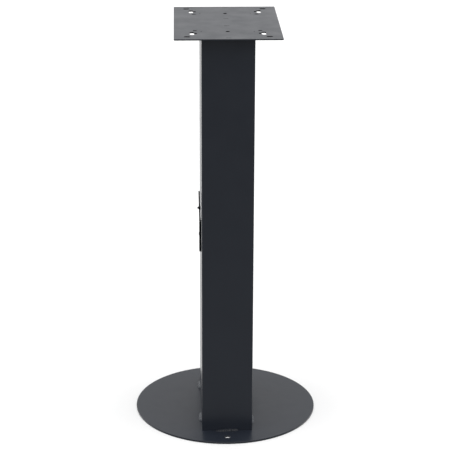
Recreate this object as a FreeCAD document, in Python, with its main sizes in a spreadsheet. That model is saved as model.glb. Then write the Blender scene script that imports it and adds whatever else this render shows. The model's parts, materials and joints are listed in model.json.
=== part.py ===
"""Equipment pedestal stand: round foot plate, folded steel column with a service door, slotted top plate.

Millimetres, +Z up.  The origin is the centre of the foot plate's underside.  +X is the stand's right side,
-Y its front.  The service door closes an opening in the left side of the column.
"""
import FreeCAD, Part
import os

import Sketcher
from FreeCAD import Placement, Rotation, Vector

os.makedirs("parts", exist_ok=True)
doc = FreeCAD.newDocument("pedestal_stand")

# ---------------------------------------------------------------- driving dimensions
SIZES = [
    # overall
    ("overall_height", 1004, "floor to the top of the top plate"),
    ("base_diameter", 458, "foot plate"),
    ("base_thickness", 5, "foot plate"),
    ("plate_width", 252, "top plate along X"),
    ("plate_depth", 377, "top plate along Y"),
    ("plate_thickness", 3, "top plate"),
    ("plate_corner", 4, "corner radius of the top plate"),
    ("plate_edge", 0.5, "rounding of the top plate's outer edges"),
    ("column_width", 125, "column along X"),
    ("column_depth", 327, "column along Y"),
    ("sheet", 2, "sheet thickness of column, ribs and door"),
    ("bend_radius", 3, "outer radius of the column's bends"),
    ("rim_chamfer", 0.4, "broken edge of the foot plate"),
    # foot plate
    ("anchor_hole", 15, "floor anchor hole diameter"),
    ("anchor_spacing", 396, "distance between the two anchor holes"),
    # top plate cut-outs: centre distances from the plate's centre lines
    ("outer_slot_at_x", 95, "outer cross slot"),
    ("outer_slot_at_y", 161, "outer cross slot"),
    ("outer_slot_length", 15.5, "outer cross slot, end to end"),
    ("outer_slot_width", 10.5, "outer cross slot"),
    ("long_slot_at_x", 83.5, "long slot"),
    ("long_slot_at_y", 125.5, "long slot"),
    ("long_slot_length", 32, "long slot, end to end"),
    ("long_slot_width", 10.5, "long slot"),
    ("notch_reach", 6.5, "side notch of the long slot, towards the centre line"),
    ("notch_width", 11.5, "side notch of the long slot, along Y"),
    ("notch_corner", 2, "corner radius of the side notch"),
    ("inner_slot_at_x", 76.5, "inner cross slot"),
    ("inner_slot_at_y", 95.5, "inner cross slot"),
    ("inner_slot_length", 10, "inner cross slot, end to end"),
    ("inner_slot_width", 7, "inner cross slot"),
    ("centre_hole_at_y", 105, "round hole on the centre line"),
    ("centre_hole", 10, "diameter of the round hole on the centre line"),
    ("pilot_at_x", 62, "pilot hole"),
    ("pilot_at_y", 105, "pilot hole"),
    ("pilot_hole", 3, "pilot hole diameter"),
    ("edge_slit_at_y", 173.5, "thin slit near the plate's front and rear edge"),
    ("edge_slit_width", 2, "thin slit near the plate's front and rear edge"),
    # tabs of the cross ribs, which pass up into the top plate
    ("tab_length", 12, "tab along X"),
    ("tab_gap", 0.2, "clearance round a tab"),
    ("tab_recess", 0.8, "tab's end below the plate's top face"),
    ("rib_at_y", 41, "centre of each cross rib"),
    ("rib_height", 55, "cross rib, below the top plate"),
    ("rib_hole", 32, "lightening hole of a cross rib"),
    # stitch welds
    ("weld_leg", 5.5, "leg of a stitch on the column's front and rear"),
    ("weld_length", 60, "one stitch on the column's front and rear"),
    ("side_weld_leg", 7.5, "leg of a stitch on the column's sides"),
    ("side_weld_length", 48, "one stitch on the column's sides"),
    ("left_front_weld_at_y", -87, "centre of the stitch on the left side, front"),
    ("left_rear_weld_at_y", 108, "centre of the stitch on the left side, rear"),
    ("right_front_weld_at_y", -104, "centre of the stitch on the right side, front"),
    ("right_rear_weld_at_y", 100, "centre of the stitch on the right side, rear"),
    ("head_weld_leg", 3, "leg of the stitches under the top plate"),
    ("head_weld_length", 30, "one stitch under the top plate"),
    ("head_weld_front_room", 9.5, "stitch on the front and rear wall, from the corner"),
    ("head_weld_side_room", 50.5, "stitch on a side wall, from the corner"),
    # door opening and leaf
    ("opening_bottom", 70, "floor to the lower edge of the opening"),
    ("opening_top_margin", 66, "upper edge of the opening below the top plate's underside"),
    ("front_margin", 23.5, "column's front to the front edge of the opening"),
    ("rear_margin", 14.5, "column's rear to the rear edge of the opening"),
    ("door_gap", 2, "gap at the leaf's front edge"),
    ("end_gap", 2.5, "gap above and below the leaf"),
    ("hinge_gap", 3, "gap at the leaf's rear edge"),
    ("door_bend", 2.5, "outer radius of the leaf's bends"),
    # pivots
    ("swing_gap", 0.7, "open leaf's face clear of the opening's rear edge"),
    ("pivot_pin", 7, "pivot pin diameter"),
    ("pin_tip_chamfer", 1, "chamfer at the pivot pin's end"),
    ("pivot_head_height", 2.5, "rivet head"),
    ("running_gap", 0.05, "radial running clearance"),
    ("face_gap", 0.3, "clearance between faces that turn on each other"),
    ("bush_wall", 1.8, "wall of a pivot bush"),
    ("bush_flange", 1.5, "flange thickness of a pivot bush"),
    ("bush_flange_reach", 1.5, "flange of a bush beyond its barrel"),
    ("bush_room", 0.65, "bush flange clear of the leaf's skin and of its folded edge's end"),
    ("bracket_thickness", 3, "pivot bracket"),
    ("bracket_reach", 20, "pivot bracket, inwards from the column's left wall"),
    ("bracket_half", 12, "half the width of a pivot bracket"),
    ("bracket_leg", 24, "vertical leg of a pivot bracket"),
    # lock jamb and seal
    ("seal_thickness", 3, "foam seal"),
    ("seal_width", 9, "foam seal"),
    ("jamb_stop", 13, "stop flange of the jamb, along Y"),
    # door stiffener
    ("stiffener_sheet", 1.5, "stiffener"),
    ("stiffener_crown", 26, "crown of the hat profile"),
    ("stiffener_brim", 13, "each brim of the hat profile"),
    ("stiffener_height", 12, "height of the hat profile"),
    ("stiffener_at_y", 20, "centre of the hat profile"),
    ("stiffener_end", 30, "stiffener's ends short of the leaf's ends"),
    # handle
    ("spindle_above_floor", 503, "floor to the handle's spindle"),
    ("spindle_behind_front", 65.5, "column's front to the handle's spindle"),
    ("hub_width", 24, "handle hub"),
    ("hub_below", 43.3, "hub's lower end below the spindle"),
    ("hub_above", 38.3, "hub's upper end above the spindle"),
    ("lever_stand_off", 1.9, "closed lever's back from the door's face"),
    ("hub_corner", 5, "hub's lower corner radius"),
    ("hub_edge", 0.8, "rounding of the handle's long edges"),
    ("rosette_thickness", 1, "rosette plate"),
    ("rosette_margin", 1, "rosette plate beyond the hub"),
    ("neck_wall", 2.95, "wall of the rosette's threaded neck"),
    ("neck_gap", 0.1, "radial clearance of the neck in the leaf"),
    ("neck_length", 11, "neck behind the door's outer face"),
    ("nut_wall", 3, "rosette nut, from its thread to a flat"),
    ("nut_thickness", 5, "rosette nut"),
    ("spindle_diameter", 12, "handle spindle"),
    ("square_drive", 8, "square of the spindle"),
    ("stud_diameter", 6, "threaded end of the spindle"),
    ("stud_length", 8, "threaded end of the spindle, behind the cam"),
    ("hub_screw_thread", 5, "hub screw shank"),
    ("hub_screw_head", 9, "hub screw head diameter"),
    ("hub_screw_dome", 1, "hub screw head above the hub"),
    ("hub_screw_depth", 10, "hub screw shank in the spindle"),
    ("socket_flats", 3, "hub screw's hexagon socket, across flats"),
    ("socket_depth", 2, "hub screw's hexagon socket"),
    ("cam_thickness", 3, "cam tongue"),
    ("cam_width", 18, "cam tongue"),
    ("cam_reach", 40, "cam tongue's tip from the spindle"),
    ("cam_heel", 10, "cam tongue's heel from the spindle"),
    ("cam_corner", 4, "corner radius of the cam tongue"),
    ("cam_gap", 1, "cam tongue behind the jamb"),
    ("washer_thickness", 1.2, "cam washer"),
    ("washer_diameter", 14, "cam washer"),
    ("cam_nut_flats", 10, "cam nut across flats"),
    ("cam_nut_thickness", 5, "cam nut"),
    # lever on the hub
    ("lever_lean", 1.4, "degrees that the lever stands off when it is released"),
    ("lever_pin_diameter", 2.2, "lever pin"),
    ("lever_pin_below_end", 2.6, "lever pin below the hub's upper end"),
    ("lever_tongue", 12, "lever's tongue between the hub's ears"),
    ("ear_gap", 0.3, "clearance beside the tongue"),
    ("ear_rounding", 1, "rounding of the ears' ends"),
    ("tongue_room", 3.2, "slot below the lever pin"),
    ("lever_length", 71.4, "lever above the pin"),
    ("lever_shoulder", 3.2, "lever's shoulder above the pin"),
    ("lever_thickness", 3.2, "lever"),
    ("lever_corner", 6, "lever's upper corner radius"),
    # thumb-turn
    ("turn_above_pin", 31, "thumb-turn above the lever pin"),
    ("turn_barrel", 7, "barrel of the thumb-turn"),
    ("turn_head", 8.4, "head of the thumb-turn"),
    ("turn_head_height", 0.5, "head of the thumb-turn"),
    ("fin_height", 2.9, "fin of the thumb-turn"),
    ("fin_thickness", 3, "fin of the thumb-turn"),
    ("fin_length", 7.6, "fin of the thumb-turn"),
    ("fin_rounding", 0.8, "rounding of the fin's outer edges"),
    ("turn_tail", 1.1, "barrel behind the lever"),
    ("clip_thickness", 0.6, "retaining ring"),
    ("clip_diameter", 10.5, "retaining ring"),
]

sizes = doc.addObject("Spreadsheet::Sheet", "sizes")
for row, (alias, value, meaning) in enumerate(SIZES, 1):
    sizes.set(f"A{row}", alias)
    sizes.set(f"B{row}", str(value))
    sizes.set(f"C{row}", meaning)
    sizes.setAlias(f"B{row}", alias)
doc.recompute()

# ---------------------------------------------------------------- places worked out from the sizes
PLACES = [
    ("base_radius", "sizes.base_diameter / 2"),
    ("half_width", "sizes.column_width / 2"),
    ("half_depth", "sizes.column_depth / 2"),
    ("inner_half_width", "half_width - sizes.sheet"),
    ("inner_half_depth", "half_depth - sizes.sheet"),
    ("inner_bend", "sizes.bend_radius - sizes.sheet"),
    ("column_height", "sizes.overall_height - sizes.base_thickness - sizes.plate_thickness"),
    ("column_top", "sizes.base_thickness + column_height"),
    ("plate_half_width", "sizes.plate_width / 2"),
    ("plate_half_depth", "sizes.plate_depth / 2"),
    ("anchor_at_y", "sizes.anchor_spacing / 2"),
    ("anchor_radius", "sizes.anchor_hole / 2"),
    # top plate
    ("notch_end_x", "sizes.long_slot_at_x - sizes.long_slot_width / 2 - sizes.notch_reach"),
    ("notch_low_y", "sizes.long_slot_at_y - sizes.notch_width / 2"),
    ("notch_high_y", "sizes.long_slot_at_y + sizes.notch_width / 2"),
    ("tab_half", "sizes.tab_length / 2"),
    ("tab_height", "sizes.plate_thickness - sizes.tab_recess"),
    ("slit_half_length", "tab_half + sizes.tab_gap"),
    ("edge_slit_inner", "sizes.edge_slit_at_y - sizes.edge_slit_width / 2"),
    ("edge_slit_outer", "sizes.edge_slit_at_y + sizes.edge_slit_width / 2"),
    ("rib_slit_inner", "sizes.rib_at_y - sizes.sheet / 2 - sizes.tab_gap"),
    ("rib_slit_outer", "sizes.rib_at_y + sizes.sheet / 2 + sizes.tab_gap"),
    ("rib_low", "-sizes.rib_height"),
    ("pilot_radius", "sizes.pilot_hole / 2"),
    ("centre_hole_radius", "sizes.centre_hole / 2"),
    ("rib_hole_at", "-sizes.rib_height / 2"),
    ("rib_hole_radius", "sizes.rib_hole / 2"),
    ("head_weld_at_x", "inner_half_width - sizes.head_weld_front_room - sizes.head_weld_length / 2"),
    ("head_weld_at_y", "inner_half_depth - sizes.head_weld_side_room - sizes.head_weld_length / 2"),
    # door opening, leaf and pivot: Y and Z in the stand's frame
    ("opening_front", "sizes.front_margin - half_depth"),
    ("opening_rear", "half_depth - sizes.rear_margin"),
    ("opening_low", "sizes.opening_bottom - sizes.base_thickness"),
    ("opening_high", "column_height - sizes.opening_top_margin"),
    ("opening_top", "sizes.base_thickness + opening_high"),
    ("door_front", "opening_front + sizes.door_gap"),
    ("door_rear", "opening_rear - sizes.hinge_gap"),
    ("door_low", "sizes.opening_bottom + sizes.end_gap"),
    ("door_high", "opening_top - sizes.end_gap"),
    ("pin_radius", "sizes.pivot_pin / 2"),
    ("bush_bore", "pin_radius + sizes.running_gap"),
    ("bush_radius", "bush_bore + sizes.bush_wall"),
    ("bush_flange_radius", "bush_radius + sizes.bush_flange_reach"),
    ("pivot_depth", "sizes.sheet + sizes.bush_room + bush_flange_radius"),
    ("door_fold", "pivot_depth + bush_flange_radius + sizes.bush_room"),
    ("pivot_x", "pivot_depth - half_width"),
    ("pivot_edge", "pivot_depth + sizes.swing_gap - sizes.hinge_gap"),
    ("pivot_y", "door_rear - pivot_edge"),
    # leaf in its own frame: origin on the pivot axis at its lower edge
    ("leaf_face", "-pivot_depth"),
    ("leaf_front", "door_front - pivot_y"),
    ("leaf_height", "door_high - door_low"),
    ("leaf_cavity_front", "leaf_front + sizes.sheet"),
    ("leaf_cavity_rear", "pivot_edge + sizes.sheet"),
    ("leaf_mouth", "leaf_face + door_fold"),
    ("leaf_cavity_high", "leaf_height - sizes.sheet"),
    ("leaf_cavity_depth", "door_fold - sizes.sheet"),
    ("neck_hole_y", "spindle_y - pivot_y"),
    ("neck_hole_z", "sizes.spindle_above_floor - door_low"),
    ("neck_radius", "neck_bore + sizes.neck_wall"),
    ("neck_hole_radius", "neck_radius + sizes.neck_gap"),
    # pivot pins, bushes and brackets
    ("pin_head_radius", "-bracket_leg_inner - sizes.face_gap"),
    ("bush_length", "sizes.sheet + sizes.bush_flange"),
    ("washer_height", "sizes.end_gap - sizes.face_gap"),
    ("pivot_washer_bore", "pin_radius + sizes.neck_gap"),
    ("pin_tip", "sizes.end_gap + bush_length"),
    ("pin_shoulder", "pin_tip - sizes.pin_tip_chamfer"),
    ("pin_tip_radius", "pin_radius - sizes.pin_tip_chamfer"),
    ("bracket_outer", "inner_half_width * -1 - pivot_x"),
    ("bracket_inner", "bracket_outer + sizes.bracket_reach"),
    ("bracket_leg_inner", "bracket_outer + sizes.bracket_thickness"),
    ("bracket_plate_low", "-sizes.bracket_thickness"),
    ("pin_head_low", "bracket_plate_low - sizes.pivot_head_height"),
    ("bracket_width", "2 * sizes.bracket_half"),
    ("bracket_leg_low", "-sizes.bracket_leg"),
    # jamb and seal: X and Y in the stand's frame
    ("jamb_face", "inner_half_width * -1"),
    ("jamb_fixing", "jamb_face + sizes.sheet"),
    ("stop_face", "door_fold - half_width + sizes.seal_thickness"),
    ("stop_back", "stop_face + sizes.sheet"),
    ("web_rear", "opening_front"),
    ("web_front", "opening_front - sizes.sheet"),
    ("stop_rear", "web_front + sizes.jamb_stop"),
    ("fixing_front", "sizes.bend_radius - half_depth"),
    ("seal_face", "stop_face - sizes.seal_thickness + sizes.face_gap"),
    ("seal_front", "stop_rear - sizes.seal_width"),
    ("jamb_length", "opening_high - opening_low"),
    # stiffener in the leaf's frame
    ("hat_y", "sizes.stiffener_at_y - pivot_y"),
    ("hat_face", "leaf_face + sizes.sheet"),
    ("hat_skin", "hat_face + sizes.stiffener_sheet"),
    ("hat_top", "hat_face + sizes.stiffener_height"),
    ("hat_ceiling", "hat_top - sizes.stiffener_sheet"),
    ("hat_crown_left", "hat_y - sizes.stiffener_crown / 2"),
    ("hat_crown_right", "hat_y + sizes.stiffener_crown / 2"),
    ("hat_inner_left", "hat_crown_left + sizes.stiffener_sheet"),
    ("hat_inner_right", "hat_crown_right - sizes.stiffener_sheet"),
    ("hat_brim_left", "hat_crown_left - sizes.stiffener_brim"),
    ("hat_brim_right", "hat_crown_right + sizes.stiffener_brim"),
    ("hat_length", "leaf_height - 2 * sizes.stiffener_end"),
    # handle in its own frame: origin on the spindle axis at the door's outer face, +X into the column
    ("spindle_y", "sizes.spindle_behind_front - half_depth"),
    ("hub_half", "sizes.hub_width / 2"),
    ("rosette_half", "hub_half + sizes.rosette_margin"),
    ("rosette_low", "-sizes.hub_below - sizes.rosette_margin"),
    ("rosette_high", "sizes.hub_above - sizes.lever_pin_below_end - sizes.tongue_room"),
    ("rosette_corner", "sizes.hub_corner + sizes.rosette_margin"),
    ("hub_back", "-sizes.rosette_thickness - sizes.face_gap"),
    ("hub_face", "-sizes.lever_stand_off - sizes.lever_thickness"),
    ("hub_thickness", "hub_back - hub_face"),
    ("hub_low", "-sizes.hub_below"),
    ("spindle_radius", "sizes.spindle_diameter / 2"),
    ("neck_bore", "spindle_radius + sizes.running_gap"),
    ("screw_radius", "sizes.hub_screw_thread / 2"),
    ("screw_head_radius", "sizes.hub_screw_head / 2"),
    ("screw_head_face", "hub_face - sizes.hub_screw_dome"),
    ("screw_crown_radius", "screw_head_radius - sizes.hub_screw_dome"),
    ("socket_flat", "sizes.socket_flats / 2"),
    ("socket_corner", "sizes.socket_flats / sqrt(3)"),
    ("socket_corner_half", "socket_corner / 2"),
    ("screw_tip", "hub_back + sizes.hub_screw_depth"),
    ("cam_front", "half_width + stop_back + sizes.cam_gap"),
    ("cam_back", "cam_front + sizes.cam_thickness"),
    ("washer_back", "cam_back + sizes.washer_thickness"),
    ("stud_end", "cam_back + sizes.stud_length"),
    ("square_half", "sizes.square_drive / 2"),
    ("stud_radius", "sizes.stud_diameter / 2"),
    ("cam_half", "sizes.cam_width / 2"),
    ("cam_washer_radius", "sizes.washer_diameter / 2"),
    ("rosette_nut_flat", "neck_radius + sizes.nut_wall"),
    ("rosette_nut_corner", "rosette_nut_flat * 2 / sqrt(3)"),
    ("rosette_nut_corner_half", "rosette_nut_corner / 2"),
    ("cam_nut_flat", "sizes.cam_nut_flats / 2"),
    ("cam_nut_corner", "sizes.cam_nut_flats / sqrt(3)"),
    ("cam_nut_corner_half", "cam_nut_corner / 2"),
    # lever, in its own frame: origin on the lever pin's axis, +Z along the lever
    ("lever_pin_z", "sizes.spindle_above_floor + sizes.hub_above - sizes.lever_pin_below_end"),
    ("lever_pin_x", "-half_width + hub_face + sizes.lever_thickness / 2"),
    ("hub_pin_z", "sizes.hub_above - sizes.lever_pin_below_end"),
    ("hub_pin_x", "hub_face + sizes.lever_thickness / 2"),
    ("lever_pin_radius", "sizes.lever_pin_diameter / 2"),
    ("lever_bore", "lever_pin_radius + sizes.running_gap"),
    ("tongue_half", "sizes.lever_tongue / 2"),
    ("slot_half", "tongue_half + sizes.ear_gap"),
    ("slot_low", "hub_pin_z - sizes.tongue_room"),
    ("slot_high", "sizes.hub_above + sizes.hub_edge"),
    ("lever_pin_length", "sizes.hub_width - 2 * sizes.hub_edge"),
    ("lever_pin_half", "lever_pin_length / 2"),
    ("lever_face", "-sizes.lever_thickness / 2"),
    ("lever_back", "sizes.lever_thickness / 2"),
    ("tongue_root", "sizes.lever_shoulder + sizes.lever_thickness"),
    ("tongue_rounding", "sizes.lever_thickness * 0.47"),
    ("turn_radius", "sizes.turn_barrel / 2"),
    ("turn_bore", "turn_radius + sizes.running_gap"),
    ("turn_head_radius", "sizes.turn_head / 2"),
    ("turn_seat", "lever_face - sizes.running_gap"),
    ("turn_head_face", "turn_seat - sizes.turn_head_height"),
    ("turn_end", "lever_back + sizes.turn_tail"),
    ("turn_barrel_length", "turn_end - turn_seat"),
    ("fin_face", "turn_head_face - sizes.fin_height"),
    ("clip_front", "lever_back + sizes.running_gap"),
    ("clip_radius", "sizes.clip_diameter / 2"),
    ("fin_half", "sizes.fin_thickness / 2"),
    ("fin_low", "sizes.turn_above_pin - fin_half"),
    ("fin_high", "sizes.turn_above_pin + fin_half"),
    ("fin_half_length", "sizes.fin_length / 2"),
]

places = doc.addObject("Spreadsheet::Sheet", "places")
for row, (alias, formula) in enumerate(PLACES, 1):
    places.setAlias(f"B{row}", alias)
for row, (alias, formula) in enumerate(PLACES, 1):
    places.set(f"A{row}", alias)
    places.set(f"B{row}", "=" + formula)
doc.recompute()
SHEETS = {"sizes": sizes, "places": places}


def number(cell):
    """The value of a cell written as sizes.name or places.name, with an optional minus sign, or 0."""
    if cell == "0":
        return 0.0
    sheet, alias = cell.lstrip("-").split(".")
    value = float(getattr(SHEETS[sheet], alias))
    return -value if cell.startswith("-") else value


# ---------------------------------------------------------------- sketch and feature helpers
def new_body(label, x="0", y="0", z="0"):
    """A body whose own origin stands at the given cells."""
    body = doc.addObject("PartDesign::Body", label)
    body.Label = label
    body.Placement = Placement(Vector(number(x), number(y), number(z)), Rotation())
    for axis, cell in (("x", x), ("y", y), ("z", z)):
        if cell != "0":
            body.setExpression(f"Placement.Base.{axis}", cell)
    return body


def new_sketch(body, name, plane, offset="0"):
    """A sketch on one of the body's origin planes, moved along the plane's normal by a cell."""
    sketch = body.newObject("Sketcher::SketchObject", name)
    feature = next(f for f in body.Origin.OriginFeatures if f.Role == plane)
    sketch.AttachmentSupport = [(feature, "")]
    sketch.MapMode = "FlatFace"
    if offset != "0":
        sketch.AttachmentOffset = Placement(Vector(0, 0, number(offset)), Rotation())
        sketch.setExpression("AttachmentOffset.Base.z", offset)
    return sketch


def fix_point(sketch, geometry, point, u, v):
    """Tie a sketch point to its two cells; a coordinate of 0 puts it on the axis."""
    for kind, cell, axis in (("DistanceX", u, -2), ("DistanceY", v, -1)):
        if cell == "0":
            sketch.addConstraint(Sketcher.Constraint("PointOnObject", geometry, point, axis))
            continue
        index = sketch.addConstraint(Sketcher.Constraint(kind, -1, 1, geometry, point, number(cell)))
        sketch.setExpression(f"Constraints[{index}]", cell)


def polygon(sketch, corners):
    """A closed outline of straight lines through corners given as pairs of cells."""
    spots = [Vector(number(u), number(v), 0) for u, v in corners]
    first = None
    for index, (u, v) in enumerate(corners):
        end = spots[(index + 1) % len(spots)]
        line = sketch.addGeometry(Part.LineSegment(spots[index], end), False)
        first = line if first is None else first
        fix_point(sketch, line, 1, u, v)
    for index in range(len(corners)):
        after = first + (index + 1) % len(corners)
        sketch.addConstraint(Sketcher.Constraint("Coincident", first + index, 2, after, 1))


def rectangle(sketch, left, right, low, high):
    """A rectangle between four cells."""
    polygon(sketch, [(left, low), (right, low), (right, high), (left, high)])


def circle(sketch, u, v, radius):
    """A circle with its centre and radius on cells."""
    centre = Vector(number(u), number(v), 0)
    index = sketch.addGeometry(Part.Circle(centre, Vector(0, 0, 1), number(radius)), False)
    fix_point(sketch, index, 3, u, v)
    radius_index = sketch.addConstraint(Sketcher.Constraint("Radius", index, number(radius)))
    sketch.setExpression(f"Constraints[{radius_index}]", radius)


def slot(sketch, u, v, length, width, along):
    """A round-ended slot centred on two cells, along the sketch's first ("u") or second ("v") axis."""
    across_radius = number(width) / 2
    reach = number(length) / 2 - across_radius
    centre = Vector(number(u), number(v), 0)
    run = Vector(reach, 0, 0) if along == "u" else Vector(0, reach, 0)
    side = Vector(0, across_radius, 0) if along == "u" else Vector(-across_radius, 0, 0)
    start_turn = 90 if along == "u" else 180
    arcs = []
    for end, turn in ((-1, start_turn), (1, start_turn + 180)):
        from_angle = FreeCAD.Units.Quantity(turn, FreeCAD.Units.Angle).getValueAs("rad").Value
        to_angle = FreeCAD.Units.Quantity(turn + 180, FreeCAD.Units.Angle).getValueAs("rad").Value
        base = Part.Circle(centre + run * end, Vector(0, 0, 1), across_radius)
        arcs.append(sketch.addGeometry(Part.ArcOfCircle(base, from_angle, to_angle), False))
    low = sketch.addGeometry(Part.LineSegment(centre - run - side, centre + run - side), False)
    high = sketch.addGeometry(Part.LineSegment(centre + run + side, centre - run + side), False)
    first, second = arcs
    for one, one_end, other, other_end in (
        (first, 2, low, 1), (low, 2, second, 1), (second, 2, high, 1), (high, 2, first, 1),
    ):
        sketch.addConstraint(Sketcher.Constraint("Tangent", one, one_end, other, other_end))
    radius_index = sketch.addConstraint(Sketcher.Constraint("Radius", first, across_radius))
    sketch.setExpression(f"Constraints[{radius_index}]", f"{width} / 2")
    main, cross = ("DistanceX", "DistanceY") if along == "u" else ("DistanceY", "DistanceX")
    main_cell, cross_cell = (u, v) if along == "u" else (v, u)
    for arc, sign in ((first, "-"), (second, "+")):
        where = number(main_cell) + (reach if sign == "+" else -reach)
        index = sketch.addConstraint(Sketcher.Constraint(main, -1, 1, arc, 3, where))
        sketch.setExpression(f"Constraints[{index}]", f"{main_cell} {sign} ({length} - {width}) / 2")
    if cross_cell == "0":
        axis = -1 if along == "u" else -2
        sketch.addConstraint(Sketcher.Constraint("PointOnObject", first, 3, axis))
    else:
        index = sketch.addConstraint(Sketcher.Constraint(cross, -1, 1, first, 3, number(cross_cell)))
        sketch.setExpression(f"Constraints[{index}]", cross_cell)


def pad(body, sketch, name, length, reverse=False):
    """Material from the sketch, along its normal or against it."""
    feature = body.newObject("PartDesign::Pad", name)
    feature.Profile = sketch
    feature.Length = number(length)
    feature.setExpression("Length", length)
    feature.Reversed = reverse
    sketch.Visibility = False
    doc.recompute()
    return feature


def pocket(body, sketch, name, length=None, reverse=False):
    """A cut from the sketch against its normal, or along it; through everything without a length."""
    before = body.Shape.Volume
    feature = body.newObject("PartDesign::Pocket", name)
    feature.Profile = sketch
    feature.Reversed = reverse
    if length is None:
        feature.Type = "ThroughAll"
    else:
        feature.Length = number(length)
        feature.setExpression("Length", length)
    sketch.Visibility = False
    doc.recompute()
    assert body.Shape.Volume < before, f"{body.Label}: {name} cuts nothing"
    return feature


def revolve(body, sketch, name, axis):
    """A full turn of the sketch about one of its own axes, H_Axis or V_Axis."""
    feature = body.newObject("PartDesign::Revolution", name)
    feature.Profile = sketch
    feature.ReferenceAxis = (sketch, [axis])
    feature.Angle = 360
    sketch.Visibility = False
    doc.recompute()
    return feature


def straight_edges(shape, direction, test=lambda middle: True):
    """Names of the straight edges along a direction whose middle passes a test."""
    names = []
    for index, edge in enumerate(shape.Edges, 1):
        if not isinstance(edge.Curve, Part.Line):
            continue
        along = abs(edge.Curve.Direction.normalize().dot(direction))
        middle = edge.valueAt((edge.FirstParameter + edge.LastParameter) / 2)
        if along > 0.999 and test(middle):
            names.append(f"Edge{index}")
    return names


def dress(body, kind, name, edges, size):
    """A Fillet or Chamfer on named edges of the body's tip, with its size on a cell."""
    base = body.Tip
    feature = body.newObject(f"PartDesign::{kind}", name)
    feature.Base = (base, edges)
    prop = "Radius" if kind == "Fillet" else "Size"
    setattr(feature, prop, number(size))
    feature.setExpression(prop, size)
    doc.recompute()
    return feature


X_AXIS, Y_AXIS, Z_AXIS = Vector(1, 0, 0), Vector(0, 1, 0), Vector(0, 0, 1)
FITS = 1e-4


def near(a, b):
    """True where two lengths are the same."""
    return abs(a - b) < FITS


# ---------------------------------------------------------------- foot plate, column, top plate
def make_base_plate():
    body = new_body("base_plate")
    outline = new_sketch(body, "base_outline", "XY_Plane")
    circle(outline, "0", "0", "places.base_radius")
    pad(body, outline, "base_disc", "sizes.base_thickness")
    anchors = new_sketch(body, "base_anchors", "XY_Plane")
    circle(anchors, "0", "places.anchor_at_y", "places.anchor_radius")
    circle(anchors, "0", "-places.anchor_at_y", "places.anchor_radius")
    pocket(body, anchors, "base_anchor_holes", reverse=True)
    rims = []
    for index, edge in enumerate(body.Tip.Shape.Edges, 1):
        if isinstance(edge.Curve, Part.Circle) and near(edge.Curve.Radius, number("places.base_radius")):
            rims.append(f"Edge{index}")
    dress(body, "Chamfer", "base_rim", rims, "sizes.rim_chamfer")
    return body


def make_column_shell():
    body = new_body("column_shell", z="sizes.base_thickness")
    outline = new_sketch(body, "column_outline", "XY_Plane")
    rectangle(outline, "-places.half_width", "places.half_width", "-places.half_depth", "places.half_depth")
    pad(body, outline, "column_block", "places.column_height")
    corners = straight_edges(body.Tip.Shape, Z_AXIS)
    dress(body, "Fillet", "column_bends", corners, "sizes.bend_radius")
    hollow = new_sketch(body, "column_hollow", "XY_Plane")
    rectangle(hollow, "-places.inner_half_width", "places.inner_half_width",
              "-places.inner_half_depth", "places.inner_half_depth")
    pocket(body, hollow, "column_inside", reverse=True)
    inside = straight_edges(
        body.Tip.Shape, Z_AXIS,
        lambda m: near(abs(m.x), number("places.inner_half_width"))
        and near(abs(m.y), number("places.inner_half_depth")))
    dress(body, "Fillet", "column_inner_bends", inside, "places.inner_bend")
    doorway = new_sketch(body, "column_doorway", "YZ_Plane")
    rectangle(doorway, "places.opening_front", "places.opening_rear",
              "places.opening_low", "places.opening_high")
    pocket(body, doorway, "column_opening", "sizes.column_width")
    return body


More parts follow.
